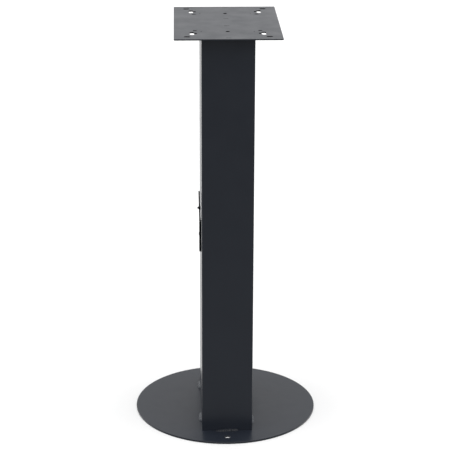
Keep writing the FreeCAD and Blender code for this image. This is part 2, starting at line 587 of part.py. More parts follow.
def make_top_plate():
    body = new_body("top_plate", z="places.column_top")
    outline = new_sketch(body, "plate_outline", "XY_Plane")
    rectangle(outline, "-places.plate_half_width", "places.plate_half_width",
              "-places.plate_half_depth", "places.plate_half_depth")
    pad(body, outline, "plate_sheet", "sizes.plate_thickness")
    corners = straight_edges(body.Tip.Shape, Z_AXIS)
    dress(body, "Fillet", "plate_corners", corners, "sizes.plate_corner")
    rims = [f"Edge{i}" for i, edge in enumerate(body.Tip.Shape.Edges, 1)
            if near(edge.BoundBox.ZMin, edge.BoundBox.ZMax)]
    dress(body, "Fillet", "plate_rounding", rims, "sizes.plate_edge")
    for side_x in ("", "-"):
        for side_y in ("", "-"):
            quarter = ("left" if side_x else "right") + ("_front" if side_y else "_rear")
            slots = new_sketch(body, f"plate_{quarter}_slots", "XY_Plane")
            for kind, along in (("outer", "u"), ("long", "v"), ("inner", "u")):
                slot(slots, f"{side_x}sizes.{kind}_slot_at_x", f"{side_y}sizes.{kind}_slot_at_y",
                     f"sizes.{kind}_slot_length", f"sizes.{kind}_slot_width", along)
            pocket(body, slots, f"plate_{quarter}_slot_cuts", reverse=True)
            notch = new_sketch(body, f"plate_{quarter}_notch", "XY_Plane")
            rectangle(notch, f"{side_x}places.notch_end_x", f"{side_x}sizes.long_slot_at_x",
                      f"{side_y}places.notch_low_y", f"{side_y}places.notch_high_y")
            pocket(body, notch, f"plate_{quarter}_notch_cut", reverse=True)
            sign_x = -1 if side_x else 1
            sign_y = -1 if side_y else 1
            ends = straight_edges(
                body.Tip.Shape, Z_AXIS,
                lambda m: near(m.x, sign_x * number("places.notch_end_x")) and m.y * sign_y > 0)
            dress(body, "Fillet", f"plate_{quarter}_notch_corners", ends, "sizes.notch_corner")
    middle = new_sketch(body, "plate_middle_cuts", "XY_Plane")
    for side_y in ("", "-"):
        circle(middle, "0", f"{side_y}sizes.centre_hole_at_y", "places.centre_hole_radius")
        for kind in ("edge", "rib"):
            rectangle(middle, "-places.slit_half_length", "places.slit_half_length",
                      f"{side_y}places.{kind}_slit_inner", f"{side_y}places.{kind}_slit_outer")
        for side_x in ("", "-"):
            circle(middle, f"{side_x}sizes.pilot_at_x", f"{side_y}sizes.pilot_at_y", "places.pilot_radius")
    pocket(body, middle, "plate_middle_slots", reverse=True)
    return body


def make_rib(label, side):
    """A cross rib under the top plate; its tab ends in the plate's thin slit."""
    body = new_body(label, z="places.column_top")
    body.setExpression("Placement.Base.y", f"{side}sizes.rib_at_y + sizes.sheet / 2")
    doc.recompute()
    web = new_sketch(body, f"{label}_web", "XZ_Plane")
    rectangle(web, "-places.inner_half_width", "places.inner_half_width", "places.rib_low", "0")
    pad(body, web, f"{label}_sheet", "sizes.sheet")
    tab = new_sketch(body, f"{label}_tab_outline", "XZ_Plane")
    rectangle(tab, "-places.tab_half", "places.tab_half", "0", "places.tab_height")
    pad(body, tab, f"{label}_tab", "sizes.sheet")
    window = new_sketch(body, f"{label}_window", "XZ_Plane")
    circle(window, "0", "places.rib_hole_at", "places.rib_hole_radius")
    pocket(body, window, f"{label}_hole", reverse=True)
    return body


# ---------------------------------------------------------------- stitch welds
CROWN = 0.6           # share of the leg that a weld's crowned face reaches, out and up
END_ROUNDING = 0.9    # share of the leg that rounds a weld's ends


def weld_bead(middle, wall, up, leg, length):
    """One stitch: a crowned fillet weld with rounded ends, in the corner of two faces.

    wall points away from the upright face and up away from the flat one; the stitch runs across both.
    """
    along = wall.cross(up)
    frame = Placement(middle - along * (length / 2), Rotation(along, wall, up, "XYZ"))
    crown = leg * CROWN
    section = Part.Wire([
        Part.LineSegment(Vector(0, 0, 0), Vector(0, leg, 0)).toShape(),
        Part.Arc(Vector(0, leg, 0), Vector(0, crown, crown), Vector(0, 0, leg)).toShape(),
        Part.LineSegment(Vector(0, 0, leg), Vector(0, 0, 0)).toShape(),
    ])
    bar = Part.Face(section).extrude(Vector(length, 0, 0))
    block = Part.makeBox(length, leg, leg)
    ends = [edge for edge in block.Edges
            if abs(edge.tangentAt(edge.FirstParameter).dot(Z_AXIS)) > 0.9 and near(edge.CenterOfMass.y, leg)]
    bead = bar.common(block.makeFillet(leg * END_ROUNDING, ends)).Solids[0]
    bead.Placement = frame
    return bead


def make_weld_group(label, beads):
    """The stitches of one joint, as one group of separate solids."""
    group = doc.addObject("Part::Feature", label)
    group.Label = label
    group.Shape = Part.makeCompound(beads)
    return group


def make_foot_welds():
    floor = number("sizes.base_thickness")
    half_width, half_depth = number("places.half_width"), number("places.half_depth")
    leg = number("sizes.weld_leg")
    beads = []
    for side in (-1, 1):
        face = Vector(0, side * half_depth, floor)
        beads.append(weld_bead(face, Y_AXIS * side, Z_AXIS, leg, number("sizes.weld_length")))
    for corner, side in (("left_front", -1), ("left_rear", -1), ("right_front", 1), ("right_rear", 1)):
        face = Vector(side * half_width, number(f"sizes.{corner}_weld_at_y"), floor)
        beads.append(weld_bead(face, X_AXIS * side, Z_AXIS, number("sizes.side_weld_leg"),
                               number("sizes.side_weld_length")))
    return make_weld_group("foot_welds", beads)


def make_head_welds():
    ceiling = number("places.column_top")
    inner_width, inner_depth = number("places.inner_half_width"), number("places.inner_half_depth")
    leg, length = number("sizes.head_weld_leg"), number("sizes.head_weld_length")
    across, behind = number("places.head_weld_at_x"), number("places.head_weld_at_y")
    beads = []
    for side in (-1, 1):
        for other in (-1, 1):
            front = Vector(other * across, side * inner_depth, ceiling)
            beads.append(weld_bead(front, Y_AXIS * -side, -Z_AXIS, leg, length))
            flank = Vector(side * inner_width, other * behind, ceiling)
            beads.append(weld_bead(flank, X_AXIS * -side, -Z_AXIS, leg, length))
    return make_weld_group("head_welds", beads)


# ---------------------------------------------------------------- door opening: jamb, seal, pivots
def make_lock_jamb():
    """Z-shaped profile behind the opening's front edge: door stop, seal seat and strike for the cam."""
    body = new_body("lock_jamb", z="sizes.opening_bottom")
    profile = new_sketch(body, "jamb_profile", "XY_Plane")
    polygon(profile, [
        ("places.jamb_face", "places.fixing_front"), ("places.jamb_fixing", "places.fixing_front"),
        ("places.jamb_fixing", "places.web_front"), ("places.stop_back", "places.web_front"),
        ("places.stop_back", "places.stop_rear"), ("places.stop_face", "places.stop_rear"),
        ("places.stop_face", "places.web_rear"), ("places.jamb_face", "places.web_rear"),
    ])
    pad(body, profile, "jamb_length_pad", "places.jamb_length")
    return body


def make_door_seal():
    body = new_body("door_seal", z="sizes.opening_bottom")
    strip = new_sketch(body, "seal_section", "XY_Plane")
    rectangle(strip, "places.seal_face", "places.stop_face", "places.seal_front", "places.stop_rear")
    pad(body, strip, "seal_strip", "places.jamb_length")
    return body


def at_pivot(body, z, upside_down):
    """Put a body on the pivot axis at a height, turned over for the upper pivot."""
    turn = Rotation(X_AXIS, 180) if upside_down else Rotation()
    body.Placement = Placement(Vector(number("places.pivot_x"), number("places.pivot_y"), number(z)), turn)
    body.setExpression("Placement.Base.x", "places.pivot_x")
    body.setExpression("Placement.Base.y", "places.pivot_y")
    body.setExpression("Placement.Base.z", z)
    return body


def make_hinge_bracket(label, z, upside_down=False):
    """Angle bracket inside the column; its plate carries the pivot pin, its leg is welded to the wall."""
    body = at_pivot(new_body(label), z, upside_down)
    plate = new_sketch(body, f"{label}_plate", "XY_Plane")
    rectangle(plate, "places.bracket_outer", "places.bracket_inner",
              "-sizes.bracket_half", "sizes.bracket_half")
    pad(body, plate, f"{label}_flat", "sizes.bracket_thickness", reverse=True)
    leg = new_sketch(body, f"{label}_leg_outline", "XZ_Plane", "-sizes.bracket_half")
    rectangle(leg, "places.bracket_outer", "places.bracket_leg_inner", "places.bracket_leg_low", "0")
    pad(body, leg, f"{label}_leg", "places.bracket_width")
    hole = new_sketch(body, f"{label}_pin_seat", "XY_Plane")
    circle(hole, "0", "0", "places.pin_radius")
    pocket(body, hole, f"{label}_pin_hole")
    return body


def make_hinge_pin(label, z, upside_down=False):
    """Riveted pivot pin: its head under the bracket's plate, its chamfered end in the leaf's bush."""
    body = at_pivot(new_body(label), z, upside_down)
    profile = new_sketch(body, f"{label}_profile", "XZ_Plane")
    polygon(profile, [
        ("0", "places.pin_head_low"), ("places.pin_head_radius", "places.pin_head_low"),
        ("places.pin_head_radius", "places.bracket_plate_low"),
        ("places.pin_radius", "places.bracket_plate_low"),
        ("places.pin_radius", "places.pin_shoulder"), ("places.pin_tip_radius", "places.pin_tip"),
        ("0", "places.pin_tip"),
    ])
    revolve(body, profile, f"{label}_turned", "V_Axis")
    return body


def make_hinge_washer():
    body = at_pivot(new_body("hinge_washer"), "sizes.opening_bottom", False)
    ring = new_sketch(body, "hinge_washer_ring", "XY_Plane")
    circle(ring, "0", "0", "places.bush_flange_radius")
    circle(ring, "0", "0", "places.pivot_washer_bore")
    pad(body, ring, "hinge_washer_disc", "places.washer_height")
    return body


def make_door_bush(label, z, upside_down=False):
    """Flanged bush pressed into the leaf's folded edge from inside."""
    body = at_pivot(new_body(label), z, upside_down)
    profile = new_sketch(body, f"{label}_profile", "XZ_Plane")
    polygon(profile, [
        ("places.bush_bore", "0"), ("places.bush_radius", "0"), ("places.bush_radius", "sizes.sheet"),
        ("places.bush_flange_radius", "sizes.sheet"), ("places.bush_flange_radius", "places.bush_length"),
        ("places.bush_bore", "places.bush_length"),
    ])
    revolve(body, profile, f"{label}_turned", "V_Axis")
    return body


# ---------------------------------------------------------------- door leaf
def make_door_panel():
    """Tray-shaped leaf: folded in at the top, the bottom and the front edge, plain at the pivot edge."""
    body = at_pivot(new_body("door_panel"), "places.door_low", False)
    outline = new_sketch(body, "leaf_outline", "YZ_Plane", "places.leaf_face")
    rectangle(outline, "places.leaf_front", "places.pivot_edge", "0", "places.leaf_height")
    pad(body, outline, "leaf_block", "places.door_fold")
    face_x = number("places.leaf_face")
    front_y = number("places.leaf_front")
    height = number("places.leaf_height")
    bends = straight_edges(body.Tip.Shape, Z_AXIS, lambda m: near(m.x, face_x) and near(m.y, front_y))
    bends += straight_edges(
        body.Tip.Shape, Y_AXIS, lambda m: near(m.x, face_x) and (near(m.z, 0) or near(m.z, height)))
    dress(body, "Fillet", "leaf_bends", bends, "sizes.door_bend")
    cavity = new_sketch(body, "leaf_cavity", "YZ_Plane", "places.leaf_mouth")
    rectangle(cavity, "places.leaf_cavity_front", "places.leaf_cavity_rear",
              "sizes.sheet", "places.leaf_cavity_high")
    pocket(body, cavity, "leaf_inside", "places.leaf_cavity_depth")
    neck = new_sketch(body, "leaf_neck_outline", "YZ_Plane")
    circle(neck, "places.neck_hole_y", "places.neck_hole_z", "places.neck_hole_radius")
    pocket(body, neck, "leaf_neck_hole")
    pivots = new_sketch(body, "leaf_pivot_outline", "XY_Plane")
    circle(pivots, "0", "0", "places.bush_radius")
    pocket(body, pivots, "leaf_pivot_holes", reverse=True)
    return body


def make_door_stiffener():
    """Hat profile spot-welded upright on the leaf's inside."""
    body = at_pivot(new_body("door_stiffener"), "places.door_low", False)
    profile = new_sketch(body, "hat_profile", "XY_Plane", "sizes.stiffener_end")
    polygon(profile, [
        ("places.hat_face", "places.hat_brim_left"), ("places.hat_skin", "places.hat_brim_left"),
        ("places.hat_skin", "places.hat_crown_left"), ("places.hat_top", "places.hat_crown_left"),
        ("places.hat_top", "places.hat_crown_right"), ("places.hat_skin", "places.hat_crown_right"),
        ("places.hat_skin", "places.hat_brim_right"), ("places.hat_face", "places.hat_brim_right"),
        ("places.hat_face", "places.hat_inner_right"), ("places.hat_ceiling", "places.hat_inner_right"),
        ("places.hat_ceiling", "places.hat_inner_left"), ("places.hat_face", "places.hat_inner_left"),
    ])
    pad(body, profile, "hat_length_pad", "places.hat_length")
    return body


# ---------------------------------------------------------------- handle, latch
def new_handle_body(label):
    """A body with its origin on the spindle axis at the door's outer face."""
    return new_body(label, "-places.half_width", "places.spindle_y", "sizes.spindle_above_floor")


def hexagon(sketch, corner, flat):
    """A hexagon with two corners on the sketch's first axis, from its corner and flat radii."""
    half = f"{corner}_half"
    polygon(sketch, [
        (corner, "0"), (half, flat), ("-" + half, flat),
        ("-" + corner, "0"), ("-" + half, "-" + flat), (half, "-" + flat),
    ])


def make_handle_rosette():
    """Plate under the hub, with a threaded neck that passes through the leaf."""
    body = new_handle_body("handle_rosette")
    outline = new_sketch(body, "rosette_outline", "YZ_Plane")
    rectangle(outline, "-places.rosette_half", "places.rosette_half",
              "places.rosette_low", "places.rosette_high")
    pad(body, outline, "rosette_sheet", "sizes.rosette_thickness", reverse=True)
    dress(body, "Fillet", "rosette_corners", straight_edges(body.Tip.Shape, X_AXIS), "places.rosette_corner")
    neck = new_sketch(body, "rosette_neck_outline", "YZ_Plane")
    circle(neck, "0", "0", "places.neck_radius")
    pad(body, neck, "rosette_neck", "sizes.neck_length")
    bore = new_sketch(body, "rosette_bore_outline", "YZ_Plane", "sizes.neck_length")
    circle(bore, "0", "0", "places.neck_bore")
    pocket(body, bore, "rosette_bore")
    return body


def make_nut(label, front, thickness, corner, flat, bore):
    """A hexagon nut on the spindle axis."""
    body = new_handle_body(label)
    outline = new_sketch(body, f"{label}_outline", "YZ_Plane", front)
    hexagon(outline, corner, flat)
    circle(outline, "0", "0", bore)
    pad(body, outline, f"{label}_hexagon", thickness)
    return body


def make_handle_hub():
    """Lower half of the handle: two ears at its upper end carry the lever's pin."""
    body = new_handle_body("handle_hub")
    outline = new_sketch(body, "hub_outline", "YZ_Plane", "places.hub_back")
    rectangle(outline, "-places.hub_half", "places.hub_half", "places.hub_low", "sizes.hub_above")
    pad(body, outline, "hub_block", "places.hub_thickness", reverse=True)
    low = number("places.hub_low")
    lower_corners = straight_edges(body.Tip.Shape, X_AXIS, lambda m: near(m.z, low))
    dress(body, "Fillet", "hub_lower_corners", lower_corners, "sizes.hub_corner")
    face_x = number("places.hub_face")
    top = number("sizes.hub_above")
    rims = [f"Edge{i}" for i, edge in enumerate(body.Tip.Shape.Edges, 1)
            if near(edge.BoundBox.XMin, face_x) and near(edge.BoundBox.XMax, face_x)
            and not near(edge.BoundBox.ZMin, top)]
    dress(body, "Fillet", "hub_rounding", rims, "sizes.hub_edge")
    clevis = new_sketch(body, "hub_slot_outline", "YZ_Plane")
    rectangle(clevis, "-places.slot_half", "places.slot_half", "places.slot_low", "places.slot_high")
    pocket(body, clevis, "hub_slot")
    ear_tops = straight_edges(body.Tip.Shape, Y_AXIS, lambda m: near(m.z, top))
    dress(body, "Fillet", "hub_ear_tops", ear_tops, "sizes.ear_rounding")
    bore = new_sketch(body, "hub_pin_outline", "XZ_Plane", "-places.hub_half")
    circle(bore, "places.hub_pin_x", "places.hub_pin_z", "places.lever_pin_radius")
    pocket(body, bore, "hub_pin_bore", reverse=True)
    screw = new_sketch(body, "hub_screw_outline", "YZ_Plane")
    circle(screw, "0", "0", "places.screw_radius")
    pocket(body, screw, "hub_screw_hole")
    return body


def make_hub_screw():
    """Raised-head socket screw that holds the hub on the spindle."""
    body = new_handle_body("hub_screw")
    profile = new_sketch(body, "hub_screw_profile", "XZ_Plane")
    polygon(profile, [
        ("places.screw_head_face", "0"), ("places.screw_head_face", "places.screw_crown_radius"),
        ("places.hub_face", "places.screw_head_radius"), ("places.hub_face", "places.screw_radius"),
        ("places.screw_tip", "places.screw_radius"), ("places.screw_tip", "0"),
    ])
    revolve(body, profile, "hub_screw_turned", "H_Axis")
    socket = new_sketch(body, "hub_screw_socket_outline", "YZ_Plane", "places.screw_head_face")
    hexagon(socket, "places.socket_corner", "places.socket_flat")
    pocket(body, socket, "hub_screw_socket", "sizes.socket_depth", reverse=True)
    return body


def make_handle_spindle():
    """Turned spindle: bearing length, square for the cam, threaded stud for its nut."""
    body = new_handle_body("handle_spindle")
    profile = new_sketch(body, "spindle_profile", "XZ_Plane")
    polygon(profile, [
        ("places.hub_back", "places.screw_radius"), ("places.hub_back", "places.spindle_radius"),
        ("places.cam_front", "places.spindle_radius"), ("places.cam_front", "places.stud_radius"),
        ("places.stud_end", "places.stud_radius"), ("places.stud_end", "0"),
        ("places.screw_tip", "0"), ("places.screw_tip", "places.screw_radius"),
    ])
    revolve(body, profile, "spindle_turned", "H_Axis")
    square = new_sketch(body, "spindle_square_outline", "YZ_Plane", "places.cam_front")
    rectangle(square, "-places.square_half", "places.square_half",
              "-places.square_half", "places.square_half")
    pad(body, square, "spindle_square", "sizes.cam_thickness")
    return body


def make_cam_tongue():
    """Latch tongue; it hangs down while unlatched and points to the front jamb when the handle is turned."""
    body = new_handle_body("cam_tongue")
    outline = new_sketch(body, "cam_outline", "YZ_Plane", "places.cam_front")
    rectangle(outline, "-places.cam_half", "places.cam_half", "-sizes.cam_reach", "sizes.cam_heel")
    pad(body, outline, "cam_sheet", "sizes.cam_thickness")
    dress(body, "Fillet", "cam_corners", straight_edges(body.Tip.Shape, X_AXIS), "sizes.cam_corner")
    square = new_sketch(body, "cam_square_outline", "YZ_Plane", "places.cam_front")
    rectangle(square, "-places.square_half", "places.square_half",
              "-places.square_half", "places.square_half")
    pocket(body, square, "cam_square", reverse=True)
    return body


def make_cam_washer():
    body = new_handle_body("cam_washer")
    ring = new_sketch(body, "cam_washer_ring", "YZ_Plane", "places.cam_back")
    circle(ring, "0", "0", "places.cam_washer_radius")
    circle(ring, "0", "0", "places.stud_radius")
    pad(body, ring, "cam_washer_disc", "sizes.washer_thickness")
    return body


def make_lever_pin():
    body = new_handle_body("lever_pin")
    outline = new_sketch(body, "lever_pin_outline", "XZ_Plane", "-places.lever_pin_half")
    circle(outline, "places.hub_pin_x", "places.hub_pin_z", "places.lever_pin_radius")
    pad(body, outline, "lever_pin_bar", "places.lever_pin_length")
    return body


# ---------------------------------------------------------------- lever and its thumb-turn
def new_lever_body(label):
    """A body with its origin on the lever pin's axis, its Z axis along the released lever."""
    body = new_body(label)
    place = Vector(number("places.lever_pin_x"), number("places.spindle_y"), number("places.lever_pin_z"))
    body.Placement = Placement(place, Rotation(-Y_AXIS, number("sizes.lever_lean")))
    body.setExpression("Placement.Base.x", "places.lever_pin_x")
    body.setExpression("Placement.Base.y", "places.spindle_y")
    body.setExpression("Placement.Base.z", "places.lever_pin_z")
    body.setExpression("Placement.Rotation.Angle", "sizes.lever_lean")
    return body


def make_handle_lever():
    """Upper half of the handle: a flat blade with a rounded tongue between the hub's ears."""
    body = new_lever_body("handle_lever")
    outline = new_sketch(body, "lever_outline", "YZ_Plane", "places.lever_back")
    rectangle(outline, "-places.hub_half", "places.hub_half", "sizes.lever_shoulder", "sizes.lever_length")
    pad(body, outline, "lever_blade", "sizes.lever_thickness", reverse=True)
    top = number("sizes.lever_length")
    upper_corners = straight_edges(body.Tip.Shape, X_AXIS, lambda m: near(m.z, top))
    dress(body, "Fillet", "lever_upper_corners", upper_corners, "sizes.lever_corner")
    shoulder = number("sizes.lever_shoulder")
    rims = [f"Edge{i}" for i, edge in enumerate(body.Tip.Shape.Edges, 1)
            if near(edge.BoundBox.XMin, edge.BoundBox.XMax) and not near(edge.BoundBox.ZMax, shoulder)]
    dress(body, "Fillet", "lever_rounding", rims, "sizes.hub_edge")
    tongue = new_sketch(body, "lever_tongue_outline", "YZ_Plane", "places.lever_back")
    rectangle(tongue, "-places.tongue_half", "places.tongue_half", "places.lever_face", "places.tongue_root")
    pad(body, tongue, "lever_tongue", "sizes.lever_thickness", reverse=True)
    end_z = number("places.lever_face")
    tongue_end = straight_edges(body.Tip.Shape, Y_AXIS, lambda m: near(m.z, end_z))
    dress(body, "Fillet", "lever_tongue_end", tongue_end, "places.tongue_rounding")
    bore = new_sketch(body, "lever_bore_outline", "XZ_Plane", "-places.hub_half")
    circle(bore, "0", "0", "places.lever_bore")
    pocket(body, bore, "lever_pin_bore", reverse=True)
    barrel = new_sketch(body, "lever_barrel_outline", "YZ_Plane", "places.lever_back")
    circle(barrel, "0", "sizes.turn_above_pin", "places.turn_bore")
    pocket(body, barrel, "lever_barrel_bore")
    return body


def make_thumb_turn():
    """Thumb-turn lock: barrel through the lever, round head and a fin to grip."""
    body = new_lever_body("thumb_turn")
    barrel = new_sketch(body, "turn_barrel_outline", "YZ_Plane", "places.turn_end")
    circle(barrel, "0", "sizes.turn_above_pin", "places.turn_radius")
    pad(body, barrel, "turn_barrel_bar", "places.turn_barrel_length", reverse=True)
    head = new_sketch(body, "turn_head_outline", "YZ_Plane", "places.turn_seat")
    circle(head, "0", "sizes.turn_above_pin", "places.turn_head_radius")
    pad(body, head, "turn_head_disc", "sizes.turn_head_height", reverse=True)
    fin = new_sketch(body, "turn_fin_outline", "YZ_Plane", "places.turn_head_face")
    rectangle(fin, "-places.fin_half_length", "places.fin_half_length", "places.fin_low", "places.fin_high")
    pad(body, fin, "turn_fin", "sizes.fin_height", reverse=True)
    outer = number("places.fin_face")
    rims = [f"Edge{i}" for i, edge in enumerate(body.Tip.Shape.Edges, 1)
            if near(edge.BoundBox.XMin, outer) and near(edge.BoundBox.XMax, outer)]
    dress(body, "Fillet", "turn_fin_rounding", rims, "sizes.fin_rounding")
    return body


def make_thumb_clip():
    """Retaining ring on the thumb-turn's barrel, behind the lever."""
    body = new_lever_body("thumb_clip")
    ring = new_sketch(body, "clip_ring", "YZ_Plane", "places.clip_front")
    circle(ring, "0", "sizes.turn_above_pin", "places.clip_radius")
    circle(ring, "0", "sizes.turn_above_pin", "places.turn_radius")
    pad(body, ring, "clip_disc", "sizes.clip_thickness")
    return body


# ---------------------------------------------------------------- the whole stand
SUBPARTS = [
    make_base_plate(),
    make_column_shell(),
    make_top_plate(),
    make_rib("top_rib_front", "-"),
    make_rib("top_rib_rear", ""),
    make_foot_welds(),
    make_head_welds(),
    make_lock_jamb(),
    make_door_seal(),
    make_hinge_bracket("hinge_bracket_bottom", "sizes.opening_bottom"),
    make_hinge_bracket("hinge_bracket_top", "places.opening_top", upside_down=True),
    make_hinge_pin("hinge_pin_bottom", "sizes.opening_bottom"),
    make_hinge_pin("hinge_pin_top", "places.opening_top", upside_down=True),
    make_hinge_washer(),
    make_door_panel(),
    make_door_stiffener(),
    make_door_bush("door_bush_bottom", "places.door_low"),
    make_door_bush("door_bush_top", "places.door_high", upside_down=True),
    make_handle_rosette(),
    make_nut("rosette_nut", "sizes.sheet", "sizes.nut_thickness",
             "places.rosette_nut_corner", "places.rosette_nut_flat", "places.neck_radius"),
    make_handle_hub(),
    make_hub_screw(),
    make_handle_spindle(),
    make_cam_tongue(),
    make_cam_washer(),
    make_nut("cam_nut", "places.washer_back", "sizes.cam_nut_thickness",
             "places.cam_nut_corner", "places.cam_nut_flat", "places.stud_radius"),
    make_lever_pin(),
    make_handle_lever(),
    make_thumb_turn(),
    make_thumb_clip(),
]
doc.recompute()

for thing in doc.Objects:
    assert not {"Invalid", "Error"} & set(thing.State), f"{thing.Label}: {thing.State}"
for subpart in SUBPARTS:
    shape = subpart.Shape
    assert not shape.isNull() and shape.isValid() and shape.Volume > 0, f"{subpart.Label} has no valid shape"
for subpart in SUBPARTS:
    subpart.Shape.exportStep(f"parts/{subpart.Label}.step")
    print(f"{subpart.Label}: {len(subpart.Shape.Solids)} solid(s), {subpart.Shape.Volume:.0f} mm3")
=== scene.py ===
"""Looks of the equipment pedestal stand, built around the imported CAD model.  Metres, +Z up, -Y the front."""

import json
import math
import random

import bpy
from mathutils import Euler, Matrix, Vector


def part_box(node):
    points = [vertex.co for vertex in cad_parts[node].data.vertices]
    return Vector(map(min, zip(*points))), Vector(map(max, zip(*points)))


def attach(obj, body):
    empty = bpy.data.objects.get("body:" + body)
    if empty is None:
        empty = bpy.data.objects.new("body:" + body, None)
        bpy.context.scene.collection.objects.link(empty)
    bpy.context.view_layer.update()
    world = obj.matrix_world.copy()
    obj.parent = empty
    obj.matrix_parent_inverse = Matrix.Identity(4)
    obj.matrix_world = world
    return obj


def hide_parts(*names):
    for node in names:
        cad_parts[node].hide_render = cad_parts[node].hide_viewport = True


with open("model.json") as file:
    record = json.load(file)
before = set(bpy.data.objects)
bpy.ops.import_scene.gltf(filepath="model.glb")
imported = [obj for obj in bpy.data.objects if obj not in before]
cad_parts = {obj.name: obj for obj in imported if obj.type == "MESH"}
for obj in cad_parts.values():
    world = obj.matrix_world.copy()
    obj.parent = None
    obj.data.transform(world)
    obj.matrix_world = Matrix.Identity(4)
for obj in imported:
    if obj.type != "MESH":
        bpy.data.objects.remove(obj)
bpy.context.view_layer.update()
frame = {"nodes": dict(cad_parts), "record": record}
NODES = frame["nodes"]
bpy.ops.object.select_all(action="DESELECT")

MM = 0.001
FLAT_SHADE_LIMIT = math.radians(50)


# ---------------------------------------------------------------- finishes
def start_finish(name):
    """An empty node material with its shader and the piece's own coordinates."""
    finish = bpy.data.materials.new(name)
    finish.use_nodes = True
    tree = finish.node_tree
    shader = tree.nodes["Principled BSDF"]
    place = tree.nodes.new("ShaderNodeTexCoord")
    return finish, tree, shader, place.outputs["Object"]


def grain(tree, place, size, detail=2.0, stretch=(1, 1, 1)):
    """Noise whose spots are about the given size; its value is 0 to 1."""
    turn = tree.nodes.new("ShaderNodeMapping")
    turn.inputs["Scale"].default_value = stretch
    noise = tree.nodes.new("ShaderNodeTexNoise")
    noise.inputs["Scale"].default_value = 1 / size
    noise.inputs["Detail"].default_value = detail
    tree.links.new(place, turn.inputs["Vector"])
    tree.links.new(turn.outputs["Vector"], noise.inputs["Vector"])
    return noise.outputs["Fac"]


def spread(tree, value, low, high, from_low=0.3, from_high=0.7):
    """A 0 to 1 value spread over a range."""
    ramp = tree.nodes.new("ShaderNodeMapRange")
    ramp.inputs["From Min"].default_value = from_low
    ramp.inputs["From Max"].default_value = from_high
    ramp.inputs["To Min"].default_value = low
    ramp.inputs["To Max"].default_value = high
    tree.links.new(value, ramp.inputs["Value"])
    return ramp.outputs["Result"]


def between(tree, share, dark, light):
    """A colour between two, by a 0 to 1 share."""
    mix = tree.nodes.new("ShaderNodeMix")
    mix.data_type = "RGBA"
    mix.inputs["A"].default_value = (*dark, 1)
    mix.inputs["B"].default_value = (*light, 1)
    tree.links.new(share, mix.inputs["Factor"])
    return mix.outputs["Result"]


def relief(tree, shader, height, depth, strength=1.0):
    """Surface relief of the given depth on the shader."""
    bump = tree.nodes.new("ShaderNodeBump")
    bump.inputs["Strength"].default_value = strength
    bump.inputs["Distance"].default_value = depth
    tree.links.new(height, bump.inputs["Height"])
    tree.links.new(bump.outputs["Normal"], shader.inputs["Normal"])


# painted shade: a near-black colour on the cut walls of slots and holes, standing in for the shade inside them
SLOT_WALL_PAINTED_SHADE = (0.0015, 0.0015, 0.0020)    # on cut walls
SHADE_DRIFT = 120 * MM                  # size of the slow changes in the coat's shade
GLOSS_DRIFT = 50 * MM
PEEL_SIZE = 1.2 * MM


def paint_shade_inside(tree, place, colour, low, high):
    """The colour, but painted nearly black between two corners as painted shade: walls of slots and holes, and
    no outer face.
    """
    split = tree.nodes.new("ShaderNodeSeparateXYZ")
    tree.links.new(place, split.inputs["Vector"])
    inside = None
    for axis, bottom, top in zip("XYZ", low, high):
        for limit, operation in ((bottom, "GREATER_THAN"), (top, "LESS_THAN")):
            test = tree.nodes.new("ShaderNodeMath")
            test.operation = operation
            test.inputs[1].default_value = limit
            tree.links.new(split.outputs[axis], test.inputs[0])
            if inside is None:
                inside = test.outputs["Value"]
            else:
                both = tree.nodes.new("ShaderNodeMath")
                both.operation = "MULTIPLY"
                tree.links.new(inside, both.inputs[0])
                tree.links.new(test.outputs["Value"], both.inputs[1])
                inside = both.outputs["Value"]
    mix = tree.nodes.new("ShaderNodeMix")
    mix.data_type = "RGBA"
    mix.inputs["B"].default_value = (*SLOT_WALL_PAINTED_SHADE, 1)
    tree.links.new(colour, mix.inputs["A"])
    tree.links.new(inside, mix.inputs["Factor"])
    return mix.outputs["Result"]


def powder_coat(name, dark, light, rough_low, rough_high, peel=0.03 * MM, shaded_walls=None):
    """Satin powder coat: orange peel, a slow drift of shade and gloss.

    The two corners given for the walls mark a box in which the colour is painted nearly black: painted shade
    on the walls of slots and holes.
    """
    finish, tree, shader, place = start_finish(name)
    shade = spread(tree, grain(tree, place, SHADE_DRIFT, 3.0), 0, 1)
    colour = between(tree, shade, dark, light)
    # painted shade: the walls of slots and holes are painted nearly black
    if shaded_walls:
        colour = paint_shade_inside(tree, place, colour, *shaded_walls)
    tree.links.new(colour, shader.inputs["Base Color"])
    gloss = spread(tree, grain(tree, place, GLOSS_DRIFT, 4.0), rough_low, rough_high)
    tree.links.new(gloss, shader.inputs["Roughness"])
    relief(tree, shader, grain(tree, place, PEEL_SIZE, 2.0), peel, 0.5)
    return finish


def inside_of_plate():
    """Two corners of a box round the plate's cut walls: short of its rim, its top and its underside."""
    low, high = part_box("top_plate")
    from_low = (10 * MM, 10 * MM, 0.1 * MM)
    from_high = (10 * MM, 10 * MM, 0.15 * MM)
    return ([edge + step for edge, step in zip(low, from_low)],
            [edge - step for edge, step in zip(high, from_high)])


COAT_DARK = (0.0148, 0.0190, 0.0285)
COAT_LIGHT = (0.0166, 0.0212, 0.0312)
ANTHRACITE = powder_coat("anthracite_powder_coat", COAT_DARK, COAT_LIGHT, 0.30, 0.38)
# the plate's copy of the coat paints its slot and hole walls nearly black as painted shade
PLATE_COAT_WITH_SLOT_SHADE = powder_coat("anthracite_with_painted_slot_shade", COAT_DARK, COAT_LIGHT, 0.30, 0.38,
                         shaded_walls=inside_of_plate())
BLACK_COAT = powder_coat("black_handle_coat", (0.003, 0.004, 0.006), (0.006, 0.007, 0.009), 0.40, 0.48)
BLACK_COAT.node_tree.nodes["Principled BSDF"].inputs["Specular IOR Level"].default_value = 0.15
